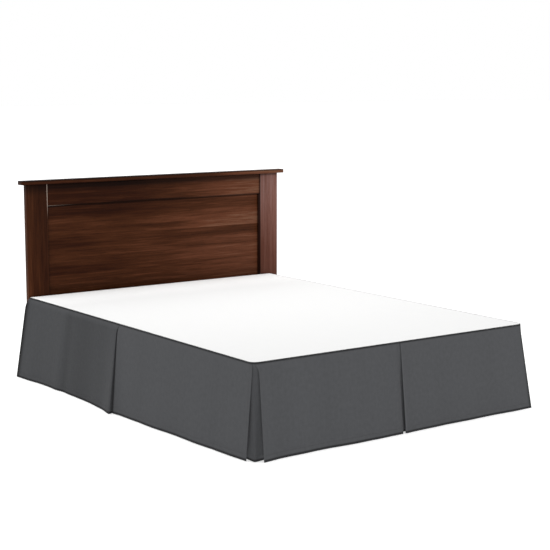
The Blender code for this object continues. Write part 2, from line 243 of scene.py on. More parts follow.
# The heights of a plate's two bolts, and the radius, depth, corners and start of a bolt's washer and head
BOLT_HEIGHTS = (0.014, 0.036)
BOLT_PARTS = ((0.0085, 0.0014, 24, 0.0), (0.0062, 0.0050, 6, 0.0014))
for side, sign in (("left", -1), ("right", 1)):
    rail_low, rail_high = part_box(f"side_rail_{side}")
    outer = rail_low.x if sign < 0 else rail_high.x
    rivets = bmesh.new()
    for row in ("head", "middle", "foot"):
        cross_low, cross_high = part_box(f"cross_rail_{row}")
        for along in (cross_low.y + RIVET_INSETS[0], cross_high.y - RIVET_INSETS[1]):
            up = rail_low.z + RIVET_HEIGHT
            dome = [rivets.verts.new((outer + sign * out, along + radius, up)) for radius, out in RIVET]
            edges = [rivets.edges.new(pair) for pair in zip(dome, dome[1:])]
            bmesh.ops.spin(rivets, geom=dome + edges, cent=(outer, along, up), axis=(1, 0, 0),
                           angle=math.tau, steps=16, use_merge=True)
    bmesh.ops.remove_doubles(rivets, verts=rivets.verts, dist=1e-5)
    bmesh.ops.recalc_face_normals(rivets, faces=rivets.faces)
    add_piece(f"rail_rivets_{side}", rivets, powder_coat)

    plate_low, plate_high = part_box(f"head_bracket_{side}")
    bolts = bmesh.new()
    for height in BOLT_HEIGHTS:
        spot = Vector(((plate_low.x + plate_high.x) / 2, plate_low.y, plate_low.z + height))
        for radius, depth, corners, start in BOLT_PARTS:
            made = bmesh.ops.create_cone(bolts, cap_ends=True, segments=corners, radius1=radius,
                                         radius2=radius, depth=depth)["verts"]
            bmesh.ops.rotate(bolts, verts=made, cent=(0, 0, 0), matrix=Matrix.Rotation(math.pi / 2, 3, "X"))
            bmesh.ops.translate(bolts, verts=made, vec=spot - Vector((0, start + depth / 2, 0)))
    ease(bolts, bolts.edges, 0.0004, 1)
    add_piece(f"bracket_bolts_{side}", bolts, powder_coat)


# ---- Box spring ----
# A wooden foundation in a stapled cover: a thinly padded woven ticking with a corded edge at the top and the
# bottom, and black spun dust cloth under it. It rests on the rails' flanges, a little inside the skirt.


def round_loop(low, high, radius, inset, height, corner_steps=8, run_steps=14):
    """A level closed line round a box between two corners, with round corners, a little inside it."""
    left, right, foot, head = low.x + radius, high.x - radius, low.y + radius, high.y - radius
    corners = ((left, foot), (right, foot), (right, head), (left, head))
    reach = radius - inset
    loop = []
    for number, (x, y) in enumerate(corners):
        for step in range(corner_steps + 1):
            turn = math.pi + number * math.pi / 2 + step * math.pi / 2 / corner_steps
            loop.append(Vector((x + reach * math.cos(turn), y + reach * math.sin(turn), height)))
        goal_x, goal_y = corners[(number + 1) % len(corners)]
        turn = math.pi + (number + 1) * math.pi / 2
        goal = Vector((goal_x + reach * math.cos(turn), goal_y + reach * math.sin(turn), height))
        start = loop[-1]
        loop += [start.lerp(goal, step / run_steps) for step in range(1, run_steps)]
    return loop


def swept(bm, line, width, height, ring=10, closed=False):
    """A cord of cloth along a level line, with its own length and girth in metres as its UV map."""
    metres = bm.loops.layers.uv.get("cloth_metres") or bm.loops.layers.uv.new("cloth_metres")
    line = [*line, line[0]] if closed else line
    reached = [0.0]
    for here, there in zip(line, line[1:]):
        reached.append(reached[-1] + (there - here).length)
    steps = len(line) - 1
    made = bmesh.ops.create_grid(bm, x_segments=steps, y_segments=ring, size=0.5)["verts"]
    spots = {}
    for vertex in made:
        number, turn = round((vertex.co.x + 0.5) * steps), vertex.co.y + 0.5
        before = line[number - 1] if number else (line[-2] if closed else line[0])
        after = line[number + 1] if number < steps else (line[1] if closed else line[-1])
        forward = (after - before).normalized()
        outward = Vector((forward.y, -forward.x, 0))
        angle = turn * math.tau
        upward = Vector((0, 0, math.sin(angle) * height))
        vertex.co = line[number] + outward * math.cos(angle) * width + upward
        spots[vertex] = (reached[number], turn * math.tau * (width + height) / 2)
    for vertex in made:
        for loop in vertex.link_loops:
            loop[metres].uv = spots[vertex]
    bmesh.ops.remove_doubles(bm, verts=made, dist=1e-6)


ticking, thread, shader = new_finish("woven_ticking", Sheen_Weight=0.15, IOR=1.45)
place = thread.place()
STRIPES = 22.0  # pairs of woven stripes in each metre
stripe_at = ((place.part("X") + place.part("Y")) * STRIPES).maths("FRACT")
stripes = stripe_at.eased(0.10, 0.13) * stripe_at.eased(0.19, 0.16) + 0.7 * (
    stripe_at.eased(0.24, 0.26) * stripe_at.eased(0.30, 0.28))
rib = place.speckle((700, 700, 260), 2.0)
soil = place.speckle((5, 5, 9), 3.0)
cover = thread.colour(0.70, 0.68, 0.63).blend(thread.colour(0.62, 0.60, 0.55), soil)
cover = cover.blend(thread.colour(0.42, 0.44, 0.46), stripes * 0.55)
wire_up(shader, Base_Color=cover.shaded(0.92 + rib * 0.16), Roughness=0.82 + rib * 0.1,
        Normal=thread.relief(rib * 0.7 + stripes * 0.3, 0.0004))

dust_cloth, thread, shader = new_finish("black_dust_cloth")
place = thread.place()
bonds = place.speckle((520, 520, 520), 1.0)
slack = place.speckle((7, 5, 1), 2.0)
felt = thread.colour(0.018, 0.018, 0.019).blend(thread.colour(0.045, 0.045, 0.046), bonds)
wire_up(shader, Base_Color=felt, Roughness=0.75 + bonds * 0.15,
        Normal=thread.relief(bonds * 0.05 + slack, 0.003))

edge_cord, thread, shader = new_finish("ticking_cord", Sheen_Weight=0.1)
twill = thread.cloth_place().speckle((900, 900, 1), 1.0)
wire_up(shader, Base_Color=thread.colour(0.50, 0.49, 0.46).shaded(0.85 + twill * 0.3),
        Roughness=0.8 + twill * 0.1, Normal=thread.relief(twill, 0.0003))

low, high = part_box("box_spring")
CORD, CORD_GAP, CORD_CORNER = 0.0032, 0.0002, 0.0232
COVER_INSET, COVER_CORNER, COVER_EDGE = Vector((0.0028, 0.0028, 0.0008)), 0.0204, 0.005
body = bmesh.new()
bmesh.ops.create_cube(body, size=1.0)
bmesh.ops.scale(body, vec=high - low - COVER_INSET * 2, verts=body.verts)
bmesh.ops.translate(body, vec=(low + high) / 2, verts=body.verts)
upright = [edge for edge in body.edges if abs(edge.verts[0].co.z - edge.verts[1].co.z) > 0.1]
ease(body, upright, COVER_CORNER, 8)
for height in (low.z + 0.075, high.z - 0.06):
    bmesh.ops.bisect_plane(body, geom=body.verts[:] + body.edges[:] + body.faces[:],
                           plane_co=(0, 0, height), plane_no=(0, 0, 1))
level = [edge for edge in body.edges if len(edge.link_faces) == 2 and edge.calc_face_angle() > 1.2]
ease(body, level, COVER_EDGE, 3)
body.normal_update()
for face in body.faces:
    if face.normal.z < -0.9:
        face.material_index = 1
base = add_piece("box_spring_cover", body, [ticking, dust_cloth], ["box_spring"])
cords = bmesh.new()
for height in (low.z + CORD + CORD_GAP, high.z - CORD - CORD_GAP):
    swept(cords, round_loop(low, high, CORD_CORNER, CORD + CORD_GAP, height), CORD, CORD, closed=True)
bmesh.ops.recalc_face_normals(cords, faces=cords.faces)
add_piece("box_spring_cords", cords, edge_cord, smooth_below=180)


# ---- Deck cloth ----
# The skirt's middle: a plain white woven cloth that lies flat on the box spring, under the mattress.
# It is cut 1.524 by 2.032 m with round foot corners, hemmed at the head, and has the drops sewn to its edge.

DECK_LOW, DECK_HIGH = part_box("deck")
DECK_WIDTH, DECK_LENGTH = DECK_HIGH.x - DECK_LOW.x, DECK_HIGH.y - DECK_LOW.y
BED_MIDDLE = (DECK_LOW.y + DECK_HIGH.y) / 2
DECK_CORNER = 0.030
DECK_CLOTH, DECK_LIE = 0.0010, 0.0006  # its thickness, and how high its middle lies over the underside

white_cotton, thread, shader = new_finish("white_deck_cloth", Sheen_Weight=0.05, IOR=1.45)
lie = thread.cloth_place()
across, along = lie.part("X"), lie.part("Y")
weave = (across * (math.tau / 0.0011)).maths("SINE") * (along * (math.tau / 0.0012)).maths("SINE")
slub = lie.speckle((260, 4, 1), 2.0) * 0.5 + lie.speckle((4, 230, 1), 2.0) * 0.5
rim = DECK_WIDTH / 2 - across.maths("ABSOLUTE")
stitched = rim.eased(0.0072, 0.0078) * rim.eased(0.0092, 0.0086)
# Painted light: the cloth is paler over its last 0.4 m towards the head, where the headboard shades it
painted_light_at_head = along.eased(DECK_LENGTH / 2 - 0.40, DECK_LENGTH / 2 - 0.08) * 0.22
cloth = thread.colour(0.735, 0.735, 0.732).shaded(0.975 + slub * 0.05 + painted_light_at_head)
wire_up(shader, Base_Color=cloth.shaded(1.0 - stitched * 0.08), Roughness=0.86 + slub * 0.08,
        Normal=thread.relief(weave * 0.08 + slub * 0.5 - stitched * 0.6, 0.00035))

# Soft ridges where the cloth lies slack: their middle, half length, half width, turn in degrees and height
DECK_SLACK = ((-0.46, -0.62, 0.30, 0.030, 62, 0.0011), (0.10, -0.80, 0.26, 0.026, 18, 0.0008),
              (0.50, -0.35, 0.34, 0.034, 118, 0.0012), (-0.22, 0.10, 0.40, 0.045, 80, 0.0010),
              (0.34, 0.46, 0.30, 0.032, 40, 0.0010), (-0.55, 0.55, 0.28, 0.028, 105, 0.0009),
              (0.62, 0.80, 0.20, 0.022, 150, 0.0008), (0.02, 0.84, 0.34, 0.030, 8, 0.0010))
deck = bmesh.new()
metres = deck.loops.layers.uv.new("cloth_metres")
bmesh.ops.create_grid(deck, x_segments=102, y_segments=136, size=0.5)
for vertex in deck.verts:
    lie_x, lie_y = vertex.co.x * DECK_WIDTH, vertex.co.y * DECK_LENGTH
    for loop in vertex.link_loops:
        loop[metres].uv = (lie_x, lie_y)
    place = Vector((lie_x, lie_y, 0))
    corner = Vector((math.copysign(DECK_WIDTH / 2 - DECK_CORNER, lie_x), DECK_CORNER - DECK_LENGTH / 2, 0))
    beyond = place - corner
    if beyond.x * corner.x > 0 and beyond.y < 0 and beyond.length > DECK_CORNER:
        place = corner + beyond.normalized() * DECK_CORNER
    edge = min(DECK_WIDTH / 2 - abs(lie_x), DECK_LENGTH / 2 - abs(lie_y)) / 0.05
    lift = 0.0
    for middle_x, middle_y, half_length, half_width, degrees, height in DECK_SLACK:
        turn = math.radians(degrees)
        off = Vector((lie_x - middle_x, lie_y - middle_y))
        forward = off.x * math.cos(turn) + off.y * math.sin(turn)
        aside = off.y * math.cos(turn) - off.x * math.sin(turn) + 0.02 * math.sin(forward * 9)
        lift += height * math.exp(-((forward / half_length) ** 2) - (aside / half_width) ** 2)
    lift *= min(edge, 1.0)
    vertex.co = (place.x, place.y + BED_MIDDLE, DECK_LOW.z + DECK_LIE + lift)
deck_cloth = add_piece("deck_cloth", deck, white_cotton, ["deck"], smooth_below=180)
thickness = deck_cloth.modifiers.new("thickness", "SOLIDIFY")
thickness.thickness, thickness.offset = DECK_CLOTH, 0.0


# ---- Drops ----
# The skirt's three sides: charcoal brushed microfibre, each drop one length of cloth with an inverted pleat
# in its middle, a doubled hem at the floor and narrow hems at its ends. It is sewn to the deck's edge under
# a narrow folded welt.

SEAM_GAP, SEAM_INSET, SEAM_ALLOWANCE = 0.0003, 0.0006, 0.012
HANG_TOP, HANG_HEM = DECK_LOW.z - SEAM_GAP, 0.003
FALL = HANG_TOP - HANG_HEM
LAYER, HEM_LAYER = 0.0018, 0.0040
DOUBLED_CLOTH = 0.00187
HEM_BAND, END_HEM = 0.026, 0.0115
HEM_TOP = FALL - HEM_BAND
PLEAT_DEPTH, PLEAT_SLIT, CORNER_SLIT = 0.075, 0.0018, 0.005
# The points that a fold adds to the cloth's line, and those at a face that have its painted shade. A fold has
# one painted shade and one sway more than points, so those of what follows it lag by a point.
FOLD_POINTS, FACE_POINTS = 7, 3

# Distances along the deck's outline, from the head's left corner round the foot to the head's right corner
QUARTER = math.pi * DECK_CORNER / 2
SIDE_RUN, FOOT_RUN = DECK_LENGTH - DECK_CORNER, DECK_WIDTH - 2 * DECK_CORNER
OUTLINE = 2 * SIDE_RUN + 2 * QUARTER + FOOT_RUN
MIDDLES = {"left": DECK_LENGTH / 2, "foot": SIDE_RUN + QUARTER + FOOT_RUN / 2,
           "right": OUTLINE - DECK_LENGTH / 2}
CORNERS = {"left": SIDE_RUN + QUARTER / 2, "right": OUTLINE - SIDE_RUN - QUARTER / 2}
# Each side of the deck: the middle of its edge, the way along it and the way out
SIDES = {"left": (Vector((-DECK_WIDTH / 2, BED_MIDDLE, 0)), Vector((0, -1, 0)), Vector((-1, 0, 0))),
         "foot": (Vector((0, BED_MIDDLE - DECK_LENGTH / 2, 0)), Vector((1, 0, 0)), Vector((0, -1, 0))),
         "right": (Vector((DECK_WIDTH / 2, BED_MIDDLE, 0)), Vector((0, 1, 0)), Vector((1, 0, 0)))}

# The hem of each face panel: how far along the side from its middle, and how far off the deck's edge
HEMS = {
    "left": (((-0.998, 0.094), (-0.88, 0.084), (-0.75, 0.071), (-0.45, 0.064), (-0.25, 0.066),
              (-0.12, 0.076), (-0.025, 0.094)),
             ((-0.008, 0.074), (0.05, 0.067), (0.25, 0.062), (0.45, 0.050), (0.72, 0.041), (1.003, 0.024))),
    "foot": (((-0.738, 0.048), (-0.60, 0.034), (-0.45, 0.028), (-0.25, 0.033), (-0.12, 0.031),
              (0.011, 0.028)),
             ((0.036, 0.030), (0.10, 0.025), (0.25, 0.020), (0.50, 0.015), (0.68, 0.015), (0.815, 0.016))),
    "right": (((-0.992, 0.034), (-0.80, 0.042), (-0.52, 0.050), (-0.25, 0.060), (-0.012, 0.072)),
              ((0.026, 0.094), (0.13, 0.074), (0.40, 0.063), (0.75, 0.072), (0.998, 0.094))),
}
# Each pleat: its middle at the top, its two back folds at the hem, and how far the underlay stands off there
PLEATS = {"left": (-0.062, -0.104, 0.070, 0.010), "foot": (0.011, -0.068, 0.130, 0.000),
          "right": (0.052, -0.086, 0.100, 0.010)}

# How far the upper part of each panel has swung along the side: before and after its pleat, and at the start
# (0) or the end (1) of a drop, where it comes out by a share of that. Each fades over its reach.
SWAYS, SWAY_REACH = {"left": (-0.027, -0.022), "foot": (-0.009, 0.004), "right": (-0.004, 0.006)}, 0.05
CORNER_SWAYS = {("left", 0): -0.008, ("left", 1): 0.006, ("foot", 0): 0.015, ("foot", 1): -0.006,
                ("right", 0): 0.010}
CORNER_REACH, CORNER_LIFT = 0.06, 0.16
# How much darker the cloth is painted, as painted shade, at the start (0) or the end (1) of a drop, and how
# far from it that reaches
END_SHADES = {("left", 0): (0.75, 0.022), ("foot", 1): (0.80, 0.030), ("right", 1): (0.75, 0.022)}
# How far the upper part of a drop's head end stands out from the bed
HEAD_KICKS, KICK_REACH = {"left": 0.012, "foot": 0.0, "right": 0.009}, 0.08
# How much paler than the rest the cloth is painted, as painted light, or darker as painted shade below 0:
# before its pleat, after it and inside it
SHADES = {"left": (-0.22, -0.04, -0.38), "foot": (-0.02, -0.01, 0.16), "right": (0.0, -0.02, -0.15)}
# How much darker a panel is painted at its pleat's edge, as painted shade, before and after it, and how far
# that reaches
EDGE_SHADES, EDGE_REACH = (0.10, 0.03), 0.012

# Soft upright waves in the cloth: their middle along the side, half width, how far they stand out at the hem
# (a trough below 0), the part of the fall above which they have faded, and how much paler they are painted,
# as painted light, or darker as painted shade below 0
WAVES = {
    "left": ((-0.90, 0.050, 0.0020, 0.20, 0.01), (-0.635, 0.034, 0.0040, 0.05, 0.01),
             (-0.560, 0.036, -0.0042, 0.03, -0.12), (-0.40, 0.150, -0.0012, 0.10, -0.15),
             (-0.21, 0.045, 0.0018, 0.35, -0.05), (0.12, 0.045, -0.0022, 0.25, -0.025),
             (0.27, 0.060, 0.0024, 0.10, 0.01), (0.43, 0.035, -0.0014, 0.40, -0.01),
             (0.585, 0.050, 0.0022, 0.15, 0.012), (0.72, 0.028, -0.0016, 0.30, -0.02),
             (0.86, 0.045, 0.0016, 0.20, 0.01)),
    "foot": ((-0.66, 0.050, -0.0026, 0.30, -0.03), (-0.53, 0.040, 0.0024, 0.10, 0.015),
             (-0.39, 0.034, -0.0014, 0.45, -0.02), (-0.27, 0.050, 0.0016, 0.15, 0.01),
             (-0.12, 0.040, 0.0018, 0.35, 0.012), (0.20, 0.040, -0.0018, 0.20, -0.012),
             (0.335, 0.050, 0.0022, 0.10, 0.01), (0.48, 0.034, -0.0015, 0.35, -0.015),
             (0.60, 0.045, 0.0020, 0.15, 0.015), (0.70, 0.030, -0.0012, 0.30, -0.01)),
    "right": ((-0.84, 0.045, 0.0024, 0.15, 0.01), (-0.66, 0.050, -0.0026, 0.20, -0.02),
              (-0.42, 0.065, 0.0028, 0.10, 0.012), (-0.24, 0.035, -0.0014, 0.35, -0.015),
              (0.19, 0.050, 0.0020, 0.20, 0.01), (0.36, 0.040, -0.0026, 0.15, -0.025),
              (0.55, 0.060, 0.0032, 0.10, 0.015), (0.71, 0.040, -0.0022, 0.30, -0.02),
              (0.88, 0.045, 0.0018, 0.20, 0.01)),
}


def on_outline(distance, depth):
    """The point at a distance along the deck's outline from the head's left corner, a depth inside it."""
    foot, head = BED_MIDDLE - DECK_LENGTH / 2, BED_MIDDLE + DECK_LENGTH / 2
    if distance <= SIDE_RUN:
        return Vector((-DECK_WIDTH / 2 + depth, head - distance, 0))
    distance -= SIDE_RUN
    if distance <= QUARTER:
        turn, reach = distance / DECK_CORNER, DECK_CORNER - depth
        centre = Vector((DECK_CORNER - DECK_WIDTH / 2, foot + DECK_CORNER, 0))
        return centre + reach * Vector((-math.cos(turn), -math.sin(turn), 0))
    distance -= QUARTER
    if distance <= FOOT_RUN:
        return Vector((DECK_CORNER - DECK_WIDTH / 2 + distance, foot + depth, 0))
    mirrored = on_outline(SIDE_RUN + QUARTER - (distance - FOOT_RUN), depth)
    return Vector((-mirrored.x, mirrored.y, 0))


def marks(start, end, pitch):
    """Distances along the outline from start to end, closer together near both ends and in a corner."""
    near_ends, end_gap, least_gap = (0.003, 0.008), 0.002, 0.0015
    length = abs(end - start)
    count = max(6, round(length / pitch))
    even = [start + (end - start) * step / count for step in range(1, count)]
    ends = [here + (there - here) * (gap / length) for here, there in ((start, end), (end, start))
            for gap in near_ends]
    turns = [middle + QUARTER * (step / 8 - 0.5) for middle in CORNERS.values() for step in range(9)]
    low, high = min(start, end) + end_gap, max(start, end) - end_gap
    inner = sorted({round(mark, 6) for mark in even + ends + turns if low < mark < high})
    spaced = [mark for mark, last in zip(inner, [-1.0, *inner]) if mark - last > least_gap]
    return [start, *(spaced if start < end else spaced[::-1]), end]


def at_hem(side, along, out):
    """The point so far along a side from its middle, and so far out from the deck's edge."""
    middle, forward, outward = SIDES[side]
    return middle + forward * along + outward * (out - SEAM_INSET)


def smooth(points, line):
    """A smooth curve through the given points, with a point for each mark of a line."""
    ends = [points[0] * 2 - points[1], *points, points[-1] * 2 - points[-2]]
    fine = []
    for before, here, there, after in zip(ends, ends[1:], ends[2:], ends[3:]):
        pull = (there - here).length / 3
        leave = (there - before).normalized() * pull
        arrive = (after - here).normalized() * pull
        fine += interpolate_bezier(here, here + leave, there - arrive, there, 40)[:-1]
    fine.append(points[-1])
    reached = [0.0]
    for here, there in zip(fine, fine[1:]):
        reached.append(reached[-1] + (there - here).length)
    spread, step = [], 0
    for mark in line:
        goal = reached[-1] * (mark - line[0]) / (line[-1] - line[0])
        while step < len(fine) - 2 and reached[step + 1] < goal:
            step += 1
        share = (goal - reached[step]) / (reached[step + 1] - reached[step])
        spread.append(fine[step].lerp(fine[step + 1], min(share, 1.0)))
    return spread


def join_runs(runs):
    """One line from several runs, with a round fold of cloth between each and the next."""
    line = list(runs[0])
    for before, after in zip(runs, runs[1:]):
        pull = (after[0] - before[-1]).length * 2 / 3
        leave = (before[-1] - before[-2]).normalized() * pull
        arrive = (after[1] - after[0]).normalized() * pull
        bends = (before[-1], before[-1] + leave, after[0] - arrive, after[0])
        line += interpolate_bezier(*bends, FOLD_POINTS + 2)[1:-1] + list(after)
    return line


# How much of a sway the cloth takes up, the part of the fall in which it sets in, and how fast painted shade
# does
SWAY_SCALE, SWAY_ONSET, TONE_RATE = 1.12, 0.055, 12


def hung(name, top, hem, waves, painted_shade_tones, sways, stands_for):
    """Cloth that hangs from its line under the deck's edge to its line at the hem, in columns and rows.

    For each column, waves is a list of (how far it stands out at the hem, the part of the fall where that
    begins), the tones how much paler the cloth is painted as painted light, or darker as painted shade below
    0, and sways the vector by which its upper part has swung."""
    drops = [0, 0.0025, 0.005, 0.008, 0.012, *(0.012 + FALL * 0.9 / 34 * step for step in range(1, 33))]
    drops += [HEM_TOP - 0.0035, HEM_TOP - 0.0012, HEM_TOP, HEM_TOP + 0.0012, HEM_TOP + 0.0035]
    drops += [FALL - 0.016, FALL - 0.010, FALL - 0.005, FALL - 0.002, FALL]
    columns, rows = len(top) - 1, len(drops) - 1
    length = [0.0]
    for here, there in zip(top, top[1:]):
        length.append(length[-1] + (there - here).length)
    bm = bmesh.new()
    metres = bm.loops.layers.uv.new("cloth_metres")
    # The tone layer holds each column's painted light and painted shade
    tone, edge = bm.verts.layers.float.new("tone"), bm.verts.layers.float.new("edge")
    bmesh.ops.create_grid(bm, x_segments=columns, y_segments=rows, size=0.5)
    for vertex in bm.verts:
        column, row = round((vertex.co.x + 0.5) * columns), round((vertex.co.y + 0.5) * rows)
        drop = drops[row]
        fall = drop / FALL
        before, after = max(column - 1, 0), min(column + 1, columns)
        forward = (top[after] - top[before]).normalized().lerp((hem[after] - hem[before]).normalized(), fall)
        outward = Vector((forward.y, -forward.x, 0)).normalized()
        stand = sum(height * max(0.0, min(1.0, (fall - start) / (1 - start))) ** 1.3
                    for height, start in waves[column])
        groove = 0.0004 * math.exp(-(((drop - HEM_TOP) / 0.0016) ** 2))
        swung = sways[column] * (SWAY_SCALE * (1.0 - fall) * (1.0 - math.exp(-((fall / SWAY_ONSET) ** 1.5))))
        place = top[column].lerp(hem[column], fall) + outward * (stand - groove) + swung
        place.z = HANG_TOP - drop
        vertex.co = place
        vertex[tone] = 1.0 + painted_shade_tones[column] * min(1.0, fall * TONE_RATE)
        vertex[edge] = min(length[column], length[-1] - length[column])
        for loop in vertex.link_loops:
            loop[metres].uv = (length[column], drop)
    bm.verts.index_update()
    doubled = [vertex.index for vertex in bm.verts
               if vertex[edge] < END_HEM or HANG_TOP - vertex.co.z >= HEM_TOP - 1e-6]
    piece = add_piece(name, bm, charcoal, stands_for, smooth_below=180)
    layers = piece.vertex_groups.new(name="thickness")
    layers.add(range(len(piece.data.vertices)), 0.5, "REPLACE")
    layers.add(doubled, 1.0, "REPLACE")
    thickness = piece.modifiers.new("thickness", "SOLIDIFY")
    thickness.thickness, thickness.offset = DOUBLED_CLOTH, 0.0
    thickness.use_even_offset = True
    thickness.vertex_group = layers.name
    return piece, length[-1]


charcoal, thread, shader = new_finish("charcoal_microfibre", Sheen_Weight=0.04, Sheen_Roughness=0.5, IOR=1.4,
                                      Specular_IOR_Level=0.12)
lie = thread.cloth_place()
run, drop = lie.part("X"), lie.part("Y")
# Painted light and painted shade: the tone that the drops' columns and the welts carry
painted_light_and_shade = thread.node("ShaderNodeAttribute", {"attribute_name": "tone"}, out="Fac")
end_gap = thread.node("ShaderNodeAttribute", {"attribute_name": "edge"}, out="Fac")
warp = lie.speckle((150, 1.4, 1), 3.0, 0.6)
weft = lie.speckle((3.5, 170, 1), 2.0)
nap = lie.speckle((9, 7, 1), 4.0, 0.6)
mottle = lie.speckle((62, 50, 1), 1.0)
fibres = lie.speckle((1500, 1500, 1), 1.0)
weave = (run * (math.tau / 0.0009)).maths("SINE") * (drop * (math.tau / 0.0009)).maths("SINE")
hem_seam = drop.eased(HEM_TOP - 0.0013, HEM_TOP - 0.0004) * drop.eased(HEM_TOP + 0.0013, HEM_TOP + 0.0004)
STITCHES = 310.0  # in each metre
stitch_gap = (run * STITCHES).maths("FRACT")
stitches = hem_seam * stitch_gap.eased(0.10, 0.2) * stitch_gap.eased(0.9, 0.8)
end_seam = end_gap.eased(0.0096, 0.0104) * end_gap.eased(0.0128, 0.0120)
# Painted shade: the drop is darker along its top under the welt and along the edge of its hem
painted_top_and_hem_shade = (1.0 - drop.eased(0.0040, 0.0100)) * 0.70 + drop.eased(FALL - 0.0125, FALL - 0.0070) * 0.68
shade = (0.805 + warp * 0.09 + weft * 0.05 + nap * 0.07 + mottle * 0.22) * painted_light_and_shade
shade = shade * (1.0 - painted_top_and_hem_shade) * (1.0 - hem_seam * 0.10 - end_seam * 0.08)
relief = weave * 0.06 + fibres * 0.10 + warp * 0.35 + stitches * 0.8 - end_seam * 0.5
wire_up(shader, Base_Color=thread.colour(0.0540, 0.0554, 0.0586).shaded(shade),
        Roughness=0.80 + nap * 0.12, Normal=thread.relief(relief, 0.0005))


def stand_at(side, mark, reach):
    """What a side's waves do at a mark: (stand, start) pairs and a tone. reach fades them at the folds."""
    # The tone is painted light, or painted shade below 0
    stands, tone = [], 0.0
    for along, width, stand, start, paler in WAVES[side]:
        share = math.exp(-(((mark - MIDDLES[side] - along) / width) ** 2)) * reach
        stands.append((stand * share, start))
        tone += paler * share
    return stands, tone


drops_made = {}
for side in SIDES:
    pleat_top, back_before, back_after, under = PLEATS[side]
    before, after = HEMS[side]
    centre = MIDDLES[side] + pleat_top
    start, end = {"left": (0.0, CORNERS["left"] - CORNER_SLIT),
                  "foot": (CORNERS["left"] + CORNER_SLIT, CORNERS["right"] - CORNER_SLIT),
                  "right": (CORNERS["right"] + CORNER_SLIT, OUTLINE)}[side]
    # The cloth's five runs: face, return, underlay, return and face
    folds = (start, *(centre + fold for fold in (-PLEAT_SLIT, -PLEAT_DEPTH, PLEAT_DEPTH, PLEAT_SLIT)), end)
    lines = [marks(*run) for run in zip(folds, folds[1:], (0.0105, 0.008, 0.010, 0.008, 0.0105))]
    top_runs = [[on_outline(mark, SEAM_INSET + layer * LAYER) for mark in line]
                for line, layer in zip(lines, (0, 1, 2, 1, 0))]
    returns = []
    for (fold, out), way, back in ((before[-1], -1, back_before), (after[0], 1, back_after)):
        returns.append([at_hem(side, fold + way * 0.002, out - (out - under) * 0.42),
                        at_hem(side, fold + way * 0.016, under + HEM_LAYER * 1.9),
                        at_hem(side, fold * 0.45 + back * 0.55, under + HEM_LAYER * 1.15),
                        at_hem(side, back, under + HEM_LAYER)])
    curves = [[at_hem(side, *row) for row in before], returns[0],
              [at_hem(side, back_before, under), at_hem(side, back_after, under)], returns[1][::-1],
              [at_hem(side, *row) for row in after]]
    hem_runs = [smooth(curve, line) for curve, line in zip(curves, lines)]
    top, hem = join_runs(top_runs), join_runs(hem_runs)
    *face_shades, inside_shade = SHADES[side]
    along_side, off_side = SIDES[side][1:]
    waves, painted_shade_tones, sways = [], [], []
    for number, line in enumerate(lines):
        after_pleat = number > 2
        face_shade, pleat_sway = face_shades[after_pleat], along_side * SWAYS[side][after_pleat]
        if number:
            # A fold's points take painted shade: the face's on its face side, the inside's elsewhere
            inside_points = FOLD_POINTS + 1 - FACE_POINTS if number in (1, 4) else FOLD_POINTS + 1
            fold_painted_shades = [face_shade] * (FOLD_POINTS + 1 - inside_points) + [inside_shade] * inside_points
            waves += [[]] * len(fold_painted_shades)
            painted_shade_tones += fold_painted_shades[::-1] if after_pleat else fold_painted_shades
            sways += [pleat_sway * float(number in (1, 4))] * len(fold_painted_shades)
        for mark in line:
            gap = abs(mark - centre)
            if number in (0, 4):
                reach = min(1.0, gap / 0.05, (min(mark - start, end - mark) + 0.01) / 0.04)
                stands, tone = stand_at(side, mark, max(reach, 0.0))
                # Painted light and shade: the face's own, darker at the pleat's edge and at the drop's ends
                tone += face_shade
                tone -= EDGE_SHADES[after_pleat] * math.exp(-((gap / EDGE_REACH) ** 2))
                for (shaded_side, at_end), (depth, width) in END_SHADES.items():
                    if shaded_side == side:
                        tone -= depth * math.exp(-((mark - (end if at_end else start)) / width) ** 2)
                swing = pleat_sway * math.exp(-gap / SWAY_REACH)
                swing += off_side * HEAD_KICKS[side] * math.exp(-min(mark, OUTLINE - mark) / KICK_REACH)
                for (swing_side, at_end), far in CORNER_SWAYS.items():
                    if swing_side == side:
                        shift = far * math.exp(-abs(mark - (end if at_end else start)) / CORNER_REACH)
                        swing += on_outline(mark + shift, -abs(shift) * CORNER_LIFT) - on_outline(mark, 0.0)
            else:
                # Inside the pleat the cloth takes the inside's painted shade
                stands, tone = [], inside_shade
                swing = pleat_sway * (1.0 - min(gap / PLEAT_DEPTH, 1.0) if number != 2 else 0.0)
            waves.append(stands)
            painted_shade_tones.append(tone)
            sways.append(swing)
    piece, cloth_length = hung(f"skirt_drop_{side}", top, hem, waves, painted_shade_tones, sways, [f"drop_{side}"])
    drops_made[side] = (piece, cloth_length, start, end)

